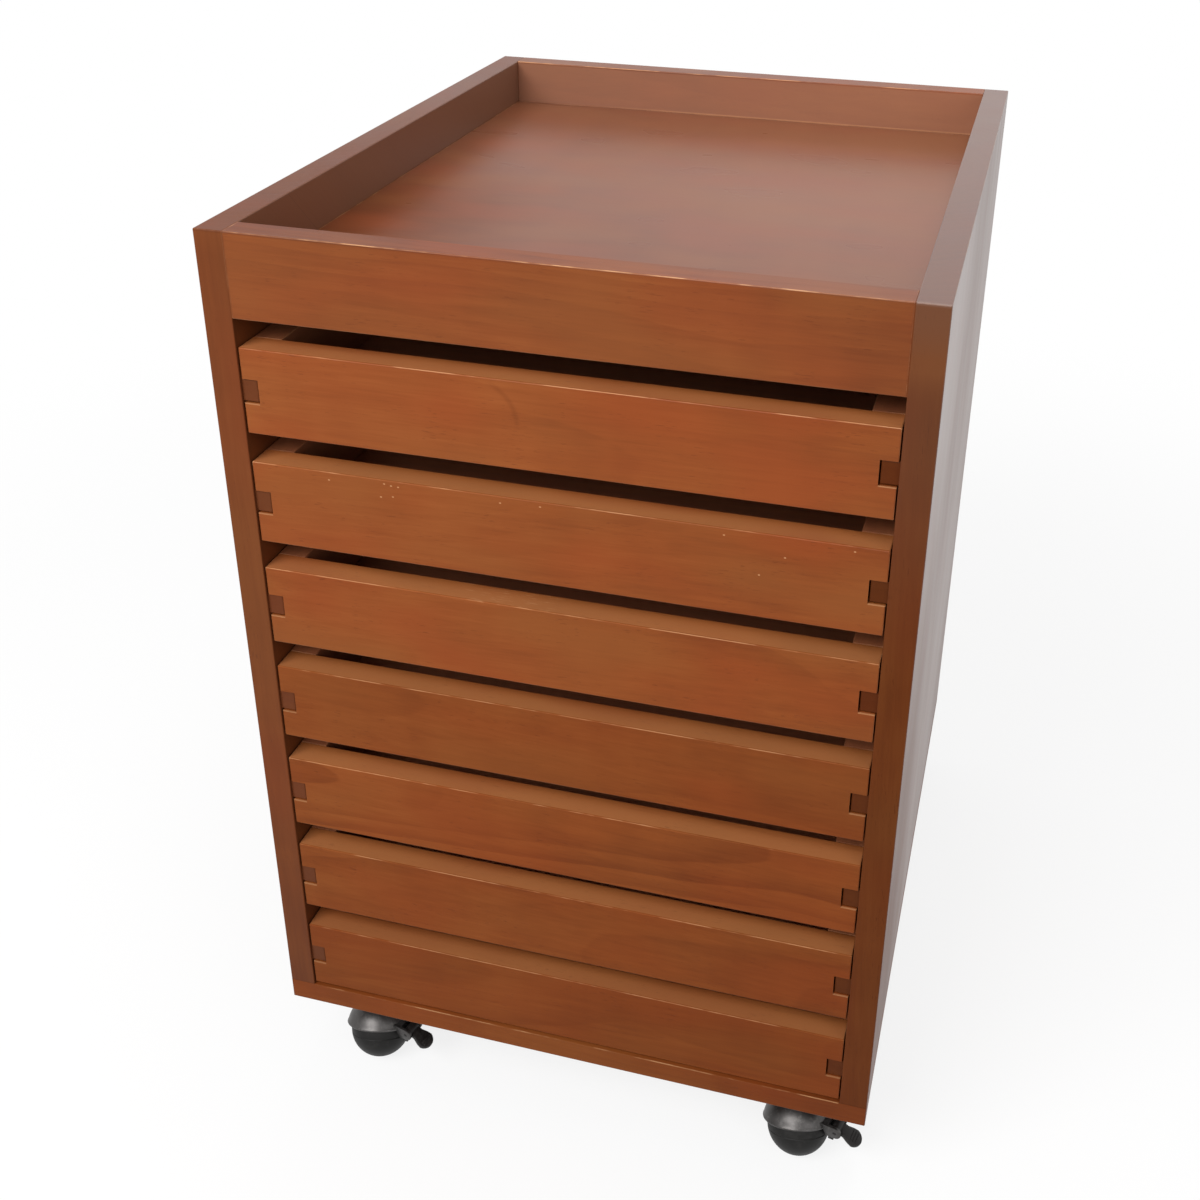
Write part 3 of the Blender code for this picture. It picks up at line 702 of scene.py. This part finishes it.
def screwShape(radius=None, height=None):
    # the head points along +Z and its underside is at zero
    look = screwLook
    radius = radius or look["headRadius"]
    height = height or look["headHeight"]
    recess = radius * look["recess"] / look["headRadius"]
    profile = [(radius * out, height * up) for out, up in look["dome"]]
    shape = spunShape(profile + [(recess, height)], look["steps"])
    rims = [edge for edge in shape.edges if edge.is_boundary]
    for low in (True, False):
        ring = [edge for edge in rims if (edge.verts[0].co.z < height / 2) == low]
        cap = bmesh.ops.contextual_create(shape, geom=ring)["faces"][0]
    for number, vert in enumerate(sorted(cap.verts, key=lambda vert: math.atan2(vert.co.y, vert.co.x))):
        share = look["cross"][number % 4]
        vert.co.x *= share
        vert.co.y *= share
    moved = extrudeFace(shape, cap)
    bmesh.ops.delete(shape, geom=[cap], context="FACES_ONLY")
    taper = look["taper"]
    depth = min(look["recessDepth"], height * taper)
    bmesh.ops.translate(shape, vec=(0, 0, -depth), verts=moved)
    bmesh.ops.scale(shape, vec=(taper, taper, 1.0), verts=moved)
    return shape


# Casters, in the frame of each one's mounting point
casterLook = {
    "spots": {
        # corner: x, y, turn in degrees
        "front_left": (-0.158, -0.208, 13.0),
        "front_right": (0.158, -0.208, 15.0),
        "rear_left": (-0.158, 0.208, 14.0),
        "rear_right": (0.158, 0.208, -9.0),
    },
    "mountHeight": 0.066,
    "ballPlace": (0.0, -0.011, -0.0443),
    "lean": -27.0,
    "ballRadius": 0.0217,
    "flatHeight": 0.0151,
    "seamHeight": -0.0032,
    "hoodRadius": 0.025,
    "hoodWall": 0.0016,
    "lipRadius": 0.00105,
    "lipRise": 0.0035,
    # start, end and steps in degrees
    "outerArc": (88, 15, 22),
    "lipArc": (40, -160, 10),
    "innerArc": (13, 88, 20),
    "axleRadius": 0.003,
    "axleFoot": -0.005,
    "collarRadius": 0.006,
    "collarLow": 0.008,
    "bossRadius": 0.0095,
    "bossTop": 0.0367,
    "bossEdge": 0.0006,
    "bossSunk": 0.0035,
    "bossDepth": 0.004,
    "bossFlare": 0.0022,
    "plateWidth": 0.042,
    "plateThickness": 0.0025,
    "plateCorner": 0.005,
    "plateEdge": 0.0004,
    "plateGap": 0.0003,
    "raceRadius": 0.014,
    "raceHeight": 0.0045,
    # the race's outline: inset and drop below the plate, then inset and rise from its foot
    "raceTop": ((0.0, -0.0004), (0.0, 0.0012), (0.0007, 0.0016), (0.0007, 0.0020), (0.0, 0.0024)),
    "raceFoot": ((0.0004, 0.0009), (0.0015, 0.0001), (0.0026, 0.0)),
    "stemRadius": 0.004,
    "stemDrop": 0.003,
    "screwPlace": 0.015,
    "leverHeading": -26.0,
    "pivot": (0.0285, 0.0, 0.0116),
    "earRadius": 0.0046,
    "earThickness": 0.0022,
    "earPlace": 0.0064,
    "earEdge": 0.0004,
    "webReach": 0.0236,
    "webDrop": 0.0014,
    "hubRadius": 0.0034,
    "hubWidth": 0.010,
    "hubEdge": 0.0004,
    "pinRadius": 0.0015,
    "pinHead": 0.0003,
    "armLength": 0.019,
    "armWidth": 0.014,
    "armThickness": 0.0036,
    "armNeck": 0.0064,
    "armShoulder": (0.0105, 0.0008),
    "armEdge": 0.0011,
    "armSlope": 25.0,
    "shoe": (-0.0052, -0.0012, -0.0105),
    "shoeEdge": 0.0005,
    "ribs": (0.0112, 0.0132, 0.0152),
    "ribHalf": (0.0005, 0.0044),
    "ribSunk": 0.0004,
    "ribHeight": 0.0005,
    "ribEdge": 0.0003,
    "seamGroove": 0.00035,
    "seamHalf": 1.1,
    "flatEdge": 0.0004,
    "boreRadius": 0.0033,
    "boreFloor": -0.0052,
}


def onBall(radius, first, second=0.0):
    # how far out a point of a ball lies, from its two other coordinates
    return math.sqrt(radius ** 2 - first ** 2 - second ** 2)


def hoodShape(hasBrake):
    # centred on the ball, upright
    look = casterLook
    outer = look["hoodRadius"]
    inner = outer - look["hoodWall"]
    middle = (outer + inner) / 2
    lip = look["lipRadius"]
    # the lip is a bead round the edge of the cap
    rise = look["lipRise"]
    bead = (onBall(middle, rise) - 0.0001, rise + lip)
    profile = [(0.0, outer)] + arc((0, 0), outer, *look["outerArc"]) + arc(bead, lip, *look["lipArc"])
    profile += arc((0, 0), inner, *look["innerArc"]) + [(0.0, inner)]
    dome = spunShape(profile)
    shape = bmesh.new()
    leaning = rotation(look["lean"], "X")
    joinShape(shape, dome, leaning)
    thin, foot, thick = look["axleRadius"], look["axleFoot"], look["collarRadius"]
    axle = spunShape([(0.0, foot), (thin, foot), (thin, inner - look["collarLow"]),
                      (thick, inner - look["collarLow"] + 0.0005), (thick, inner - 0.0004),
                      (0.0, inner + 0.0004)], 24)
    joinShape(shape, axle, leaning)

    # the boss stands upright over the stem, and its foot follows the dome
    stem = -Vector(look["ballPlace"])
    radius, top = look["bossRadius"], look["bossTop"]
    flare = look["bossFlare"]
    eased = look["bossEdge"]
    rise = outer - look["bossSunk"]
    rings = [(0.0, top), (radius - eased, top), (radius, top - eased), (radius, rise + flare)]
    rings += [(radius + flare - flare * math.cos(angle), rise + flare - flare * math.sin(angle))
              for angle in (0.5, 1.0, 1.4)]
    boss = spunShape(rings + [(radius + flare, rise - look["bossDepth"])], 48)
    bmesh.ops.translate(boss, vec=(stem.x, stem.y, 0.0), verts=boss.verts)
    for vert in boss.verts:
        ground = onBall(middle, vert.co.x, vert.co.y)
        if vert.co.z < rise + flare * 0.9:
            lift = max(0.0, vert.co.z - rise + 0.0002)
            vert.co.z = ground + lift if vert.co.z > rise - 0.003 else ground
    rim = [edge for edge in boss.edges if edge.is_boundary]
    bmesh.ops.contextual_create(boss, geom=rim)
    joinShape(shape, boss)

    if hasBrake:
        # the ears and the web between them point along the lever
        pivot = Vector(look["pivot"])
        ear = look["earRadius"]
        heading = rotation(look["leverHeading"], "Z")
        for side in (-1, 1):
            y = pivot.y + side * look["earPlace"]
            heights = [pivot.z - ear + ear * 2 * step / 6 for step in range(7)]
            outline = [(onBall(middle, y, z), z) for z in reversed(heights)]
            outline += arc((pivot.x, pivot.z), ear, -90, 90, 14)
            plate = slabShape(outline, look["earThickness"], look["earEdge"])
            joinShape(shape, plate, heading @ Matrix.Translation((0, y, 0)))
        # the web between the ears follows the dome on its inner side
        reach = look["webReach"]
        web = blockShape((0.0, pivot.y - look["earPlace"], pivot.z - look["webDrop"]),
                         (reach, pivot.y + look["earPlace"], pivot.z + ear - look["earEdge"]))
        bmesh.ops.subdivide_edges(web, edges=web.edges[:], cuts=3, use_grid_fill=True)
        for vert in web.verts:
            ground = onBall(middle, vert.co.y, vert.co.z)
            if vert.co.x < reach - 0.0001:
                vert.co.x = ground + (reach - ground) * vert.co.x / reach
        joinShape(shape, web, heading)
    return shape


def ballShape():
    look = casterLook
    radius, flat = look["ballRadius"], look["flatHeight"]
    edge = math.degrees(math.asin(flat / radius))
    seam = math.degrees(math.asin(look["seamHeight"] / radius))
    half, floor = look["seamHalf"], look["boreFloor"]
    profile = [(0.0, -radius)] + arc((0, 0), radius, -88, seam - half, 30)
    sunk, slope = radius - look["seamGroove"], math.radians(seam)
    profile += [(sunk * math.cos(slope), sunk * math.sin(slope))]
    profile += arc((0, 0), radius, seam + half, edge - 2.0, 16)
    profile += [(onBall(radius, flat) - look["flatEdge"], flat), (look["boreRadius"], flat),
                (look["boreRadius"], floor), (0.0, floor)]
    return spunShape(profile)


def plateShape():
    look = casterLook
    half = look["plateWidth"] / 2
    thickness = look["plateThickness"]
    shape = blockShape((-half, -half, -thickness), (half, half, 0.0))
    corners = [edge for edge in shape.edges if abs(edge.verts[0].co.z - edge.verts[1].co.z) > thickness / 2]
    roundEdges(shape, corners, look["plateCorner"], 8)
    easeEdges(shape, look["plateEdge"], 60)
    radius, height = look["raceRadius"], look["raceHeight"]
    low = -thickness - height
    stem, foot = look["stemRadius"], low - look["stemDrop"]
    profile = [(0.0, -thickness - look["raceTop"][0][1])]
    profile += [(radius - inset, -thickness - drop) for inset, drop in look["raceTop"]]
    profile += [(radius - inset, low + rise) for inset, rise in look["raceFoot"]]
    race = spunShape(profile + [(stem, low), (stem, foot), (0.0, foot)], 48)
    joinShape(shape, race)
    return shape


def leverShape():
    # about the pivot; the arm slopes down and out
    look = casterLook
    turned = rotation(90, "X")
    hub, width, eased = look["hubRadius"], look["hubWidth"] / 2, look["hubEdge"]
    shape = bmesh.new()
    joinShape(shape, rodShape([(0.0, -width), (hub - eased, -width), (hub, -width + eased)], 32), turned)
    pin, reach = look["pinRadius"], look["earPlace"] + look["earThickness"] / 2
    end = reach + look["pinHead"]
    joinShape(shape, rodShape([(0.0, -end), (pin * 0.7, -end + 0.0001), (pin, -end + 0.0004)], 20), turned)
    half, neck = look["armWidth"] / 2, width - look["pinHead"]
    shoulder, shorter = look["armShoulder"]
    outline = [(0.0, -neck), (look["armNeck"], -neck), (shoulder, -half + shorter)]
    outline += arc((look["armLength"] - half, 0.0), half, -75, 75, 16)
    outline += [(shoulder, half - shorter), (look["armNeck"], neck), (0.0, neck)]
    arm = slabShape(outline, look["armThickness"], look["armEdge"])
    slope = rotation(look["armSlope"], "Y")
    joinShape(shape, arm, slope @ rotation(-90, "X"))
    top = look["armThickness"] / 2
    long, wide = look["ribHalf"]
    for place in look["ribs"]:
        rib = blockShape((place - long, -wide, top - look["ribSunk"]),
                         (place + long, wide, top + look["ribHeight"]), look["ribEdge"])
        joinShape(shape, rib, slope)
    near, far, low = look["shoe"]
    shoe = blockShape((near, -wide, low), (far, wide, 0.0), look["shoeEdge"])
    joinShape(shape, shoe)
    return shape


# Metals and plastic: density of the noise, spans, colours and shares of the colours
metalLook = {"coarse": 95.0, "fine": 900.0, "rubbed": 260.0, "coarseSpan": (0.3, 0.7),
             "rubbedSpan": (0.52, 0.72), "dark": (0.060, 0.056, 0.054), "clear": (0.105, 0.100, 0.098),
             "clearShare": 0.6,
             "bare": (0.20, 0.19, 0.18), "bareShare": 0.35, "roughness": 0.40, "coarseDull": 0.16,
             "rubbedDull": 0.08, "heights": (0.6, 0.4), "bump": (0.0002, 0.25), "metallic": 0.85}
plasticLook = {
    "ballPlastic": {"colour": (0.0085, 0.008, 0.0075), "roughness": 0.50, "grain": 1500.0, "gloss": 0.20},
    "leverPlastic": {"colour": (0.011, 0.0095, 0.009), "roughness": 0.42, "grain": 1100.0, "gloss": 0.25},
}
dustLook = {"density": 120.0, "span": (0.50, 0.74), "paler": 3.0, "pale": 0.012, "share": 0.5, "dull": 0.2,
            "grainDull": 0.12, "bump": (0.00015, 0.35)}
steelLook = {"density": 700.0, "span": (0.35, 0.75), "bright": (0.42, 0.40, 0.36), "dark": (0.24, 0.22, 0.19),
             "roughness": 0.32, "dull": 0.3, "bump": (0.0001, 0.2), "metallic": 0.95}


def metalFinish():
    # dark lacquered steel with a soft sheen, rubbed paler in patches
    look = metalLook
    finish = Finish("gunmetal")
    coarse = finish.noise(finish.place, look["coarse"], 3.0, 0.6)
    fine = finish.noise(finish.place, look["fine"], 2.0, 0.5)
    rubbed = finish.noise(finish.place, look["rubbed"], 4.0, 0.7).ramp(*look["rubbedSpan"])
    colour = finish.mix(coarse.ramp(*look["coarseSpan"]) * look["clearShare"], look["dark"], look["clear"])
    colour = finish.mix(rubbed * look["bareShare"], colour, look["bare"])
    dull = look["roughness"] + (coarse - 0.5) * look["coarseDull"] + rubbed * look["rubbedDull"]
    bent = finish.bump(coarse * look["heights"][0] + fine * look["heights"][1], *look["bump"])
    return finish.dress(colour, dull, bent, look["metallic"])


def plasticFinish(name):
    # moulded black plastic with a fine leather-like grain and dust in it
    look, dust = plasticLook[name], dustLook
    finish = Finish(name)
    pebble = finish.noise(finish.place, look["grain"], 2.0, 0.5)
    dusty = finish.noise(finish.place, dust["density"], 4.0, 0.65).ramp(*dust["span"])
    pale = tuple(value * dust["paler"] + dust["pale"] for value in look["colour"])
    shade = finish.mix(dusty * dust["share"], look["colour"], pale)
    bent = finish.bump(pebble, *dust["bump"])
    finish.shader.inputs["Specular IOR Level"].default_value = look["gloss"]
    dull = look["roughness"] + dusty * dust["dull"] + (pebble - 0.5) * dust["grainDull"]
    return finish.dress(shade, dull, bent)


def steelFinish():
    look = steelLook
    finish = Finish("screwSteel")
    stain = finish.noise(finish.place, look["density"], 3.0, 0.6)
    colour = finish.mix(stain.ramp(*look["span"]), look["bright"], look["dark"])
    dull = look["roughness"] + (stain - 0.5) * look["dull"]
    return finish.dress(colour, dull, finish.bump(stain, *look["bump"]), look["metallic"])


def makeCasters():
    look = casterLook
    metal = metalFinish()
    ballPlastic = plasticFinish("ballPlastic")
    leverPlastic = plasticFinish("leverPlastic")
    steel = steelFinish()
    for corner, (x, y, turn) in look["spots"].items():
        name = "caster_" + corner
        fixed = Matrix.Translation((x, y, look["mountHeight"] - look["plateGap"]))
        mount = Matrix.Translation((x, y, look["mountHeight"])) @ rotation(turn, "Z")
        upright = mount @ Matrix.Translation(look["ballPlace"])
        leaning = upright @ rotation(look["lean"], "X")
        hasBrake = corner.startswith("front")

        addPiece("plateOf_" + corner, plateShape(), metal, "carcass", [name + "_plate"], fixed)
        screws = bmesh.new()
        number = 0
        for right in (-1, 1):
            for rear in (-1, 1):
                place = (right * look["screwPlace"], rear * look["screwPlace"], -look["plateThickness"])
                number += 1
                head = Matrix.Translation(place) @ rotation(180, "X")
                spin = Matrix.Rotation(number * 1.3 + x * 9, 4, "Z")
                joinShape(screws, screwShape(), fixed @ head @ spin)
        addPiece("plateScrewsOf_" + corner, screws, steel, "carcass")
        addPiece("hoodOf_" + corner, hoodShape(hasBrake), metal, name + "_swivel",
                 [name + "_hood"], upright)
        addPiece("ballOf_" + corner, ballShape(), ballPlastic, name + "_wheel",
                 [name + "_ball"], leaning)
        if hasBrake:
            placed = upright @ rotation(look["leverHeading"], "Z") @ Matrix.Translation(look["pivot"])
            addPiece("brakeLeverOf_" + corner, leverShape(), leverPlastic, name + "_brake",
                     [name + "_brake_lever"], placed)
    print("casters made")


# Glue and stain that close the joints between the flush boards
seamLook = {"half": 0.0003, "sunk": 0.00012}


def makeSeams():
    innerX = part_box("tray_front_board")[1].x + boardGap / 2
    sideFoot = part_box("left_side_board")[0].z - boardGap / 2
    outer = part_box("bottom_board")[1]
    half, sunk = seamLook["half"], seamLook["sunk"]
    shape = bmesh.new()
    for hand in (-1, 1):
        for name in ("tray_front_board", "tray_back_board"):
            low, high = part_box(name)
            joinShape(shape, blockShape((hand * innerX - half, low.y + sunk, low.z + sunk),
                                        (hand * innerX + half, high.y - sunk, high.z - sunk)))
        left, right = sorted((hand * (innerX + half), hand * (outer.x - sunk)))
        joinShape(shape, blockShape((left, -outer.y + sunk, sideFoot - half),
                                    (right, outer.y - sunk, sideFoot + half)))
    everywhere = (Vector((-1, -1, -1)), Vector((1, 1, 1)))
    wood = woodFinish("seamWood", everywhere, "z", tone=0.62, redness=0.3, edgeWearAndHighlightShare=0.0, figure=0.0)
    addPiece("boardSeams", shape, wood, "carcass")
    print("board seams closed")


# Back panel with its screws, and the screws under the bottom board
backLook = {"thickness": 0.0057, "edge": 0.0005, "screwInset": 0.0055, "columns": 4, "rows": 6,
            "headRadius": 0.0034, "headHeight": 0.00025}
boardScrewLook = {"x": 0.199, "ys": (-0.205, -0.07, 0.07, 0.205), "headRadius": 0.0042, "headHeight": 0.0004}


def makeBack():
    low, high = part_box("back_panel")
    rear = low.y + backLook["thickness"]
    box = (low, Vector((high.x, rear, high.z)))
    shape = blockShape(*box, backLook["edge"])
    wood = woodFinish("backPanelWood", box, "z", tone=0.8, redness=0.3, edgeWearAndHighlightShare=0.0, figure=0.28, roughness=0.46)
    addPiece("backPanel", shape, wood, "carcass", ["back_panel"])
    inset = backLook["screwInset"]
    columns, rows = backLook["columns"], backLook["rows"]
    places = []
    for column in range(columns):
        x = low.x + inset + (high.x - low.x - inset * 2) * column / (columns - 1)
        places += [(x, low.z + inset), (x, high.z - inset)]
    for row in range(1, rows - 1):
        z = low.z + inset + (high.z - low.z - inset * 2) * row / (rows - 1)
        places += [(low.x + inset, z), (high.x - inset, z)]
    steel = steelFinish()
    screws = bmesh.new()
    for number, (x, z) in enumerate(places):
        turned = Matrix.Translation((x, rear, z)) @ rotation(-90, "X")
        head = screwShape(backLook["headRadius"], backLook["headHeight"])
        joinShape(screws, head, turned @ Matrix.Rotation(number * 0.9, 4, "Z"))
    addPiece("backScrews", screws, steel, "carcass")

    under = bmesh.new()
    for side in (-1, 1):
        for number, y in enumerate(boardScrewLook["ys"]):
            place = Matrix.Translation((side * boardScrewLook["x"], y, casterLook["mountHeight"]))
            turned = place @ rotation(180, "X") @ Matrix.Rotation(number * 0.7, 4, "Z")
            head = screwShape(boardScrewLook["headRadius"], boardScrewLook["headHeight"])
            joinShape(under, head, turned)
    addPiece("boardScrews", under, steel, "carcass")
    print("back panel and screws made")


# The photograph's view, worked out from the carcass corners
cameraView = {
    "place": (0.2425, -0.9408, 0.8985),
    "forward": (-0.22686, 0.86573, -0.44615),
    "up": (-0.12674, 0.42795, 0.89487),
    "lens": 44.32,
    "sensor": 36.0,
    "shift": (-0.0493, -0.1187),
    "farClip": 50.0,
}


def makeCamera():
    data = bpy.data.cameras.new("photoView")
    data.sensor_width = cameraView["sensor"]
    data.lens = cameraView["lens"]
    data.shift_x, data.shift_y = cameraView["shift"]
    data.clip_end = cameraView["farClip"]
    camera = showObject("photoView", data)
    forward = Vector(cameraView["forward"]).normalized()
    right = forward.cross(Vector(cameraView["up"])).normalized()
    up = right.cross(forward)
    turned = Matrix((right, up, -forward)).transposed().to_4x4()
    camera.matrix_world = Matrix.Translation(cameraView["place"]) @ turned
    bpy.context.scene.camera = camera


stageLook = {
    "floorSize": 16.0,
    "floorSeen": 0.90,
    "floorDim": 0.14,
    "floorRoughness": 0.95,
    "whiteNear": 0.818,
    "whiteFar": 1.0,
    "nearRadius": 0.45,
    "farRadius": 1.5,
    "worldSeen": 1.0,
    "worldDim": 0.42,
    "lamps": [
        # name, place, aimed at, width, height, power
        ("keyLamp", (-0.85, -1.85, 1.98), (0.0, -0.1, 0.36), 1.6, 1.1, 54.0),
        ("fillLamp", (1.7, -1.7, 1.3), (0.0, 0.0, 0.35), 1.2, 1.2, 9.0),
        ("frontLamp", (0.0, -2.6, 1.42), (0.0, 0.0, 0.3), 0.7, 0.5, 6.0),
        ("topLamp", (0.2, 0.3, 2.1), (0.0, 0.0, 0.6), 1.2, 0.8, 11.0),
    ],
}


def seenRay(web):
    # camera, glossy and see-through rays meet the pale background, the others a dimmer one
    path = web.nodes.new("ShaderNodeLightPath")
    seen = path.outputs["Is Camera Ray"]
    for name in ("Is Glossy Ray", "Is Transmission Ray"):
        most = web.nodes.new("ShaderNodeMath")
        most.operation = "MAXIMUM"
        web.links.new(seen, most.inputs[0])
        web.links.new(path.outputs[name], most.inputs[1])
        seen = most.outputs[0]
    return seen


def makeStage():
    shape = bmesh.new()
    bmesh.ops.create_grid(shape, x_segments=1, y_segments=1, size=stageLook["floorSize"] / 2)
    floor = showObject("studioFloor", meshOf("studioFloor", shape))
    # seen rays meet a floor that is white by itself, more so away from the object, and
    # keeps a part of its shading for the shadow
    finish = Finish("studioFloor")
    seen = Number(finish, seenRay(finish.web))
    pale = (stageLook["floorSeen"],) * 3
    dim = (stageLook["floorDim"],) * 3
    finish.dress(finish.mix(seen, dim, pale), stageLook["floorRoughness"])
    x, y, z = finish.split(finish.place)
    away = ((x * x + y * y) ** 0.5).ramp(stageLook["nearRadius"], stageLook["farRadius"],
                                         stageLook["whiteNear"], stageLook["whiteFar"])
    glow = finish.node("ShaderNodeEmission", sockets={"Color": (1.0, 1.0, 1.0), "Strength": 1.0})
    both = finish.node("ShaderNodeMixShader", sockets={0: away * seen, 1: finish.shader.outputs[0],
                                                       2: glow.outputs[0]})
    finish.feed(finish.web.nodes["Material Output"], {"Surface": both.outputs[0]})
    paint(floor, finish.material)

    world = bpy.data.worlds.new("studio")
    bpy.context.scene.world = world
    world.use_nodes = True
    web = world.node_tree
    mix = web.nodes.new("ShaderNodeMix")
    web.links.new(seenRay(web), mix.inputs[0])
    mix.inputs[2].default_value = stageLook["worldDim"]
    mix.inputs[3].default_value = stageLook["worldSeen"]
    background = web.nodes["Background"]
    background.inputs["Color"].default_value = (1.0, 1.0, 1.0, 1.0)
    web.links.new(mix.outputs[0], background.inputs["Strength"])

    for name, place, target, width, height, power in stageLook["lamps"]:
        data = bpy.data.lights.new(name, "AREA")
        data.shape = "RECTANGLE"
        data.size, data.size_y, data.energy = width, height, power
        lamp = showObject(name, data)
        lamp.location = place
        lamp.rotation_euler = (Vector(target) - Vector(place)).to_track_quat("-Z", "Y").to_euler()
    bpy.context.scene.view_settings.view_transform = "Standard"
    print("stage and lamps ready")


makeCamera()
makeStage()
dressBoards()
dressDrawers()
makeSeams()
makeBack()
makeCasters()
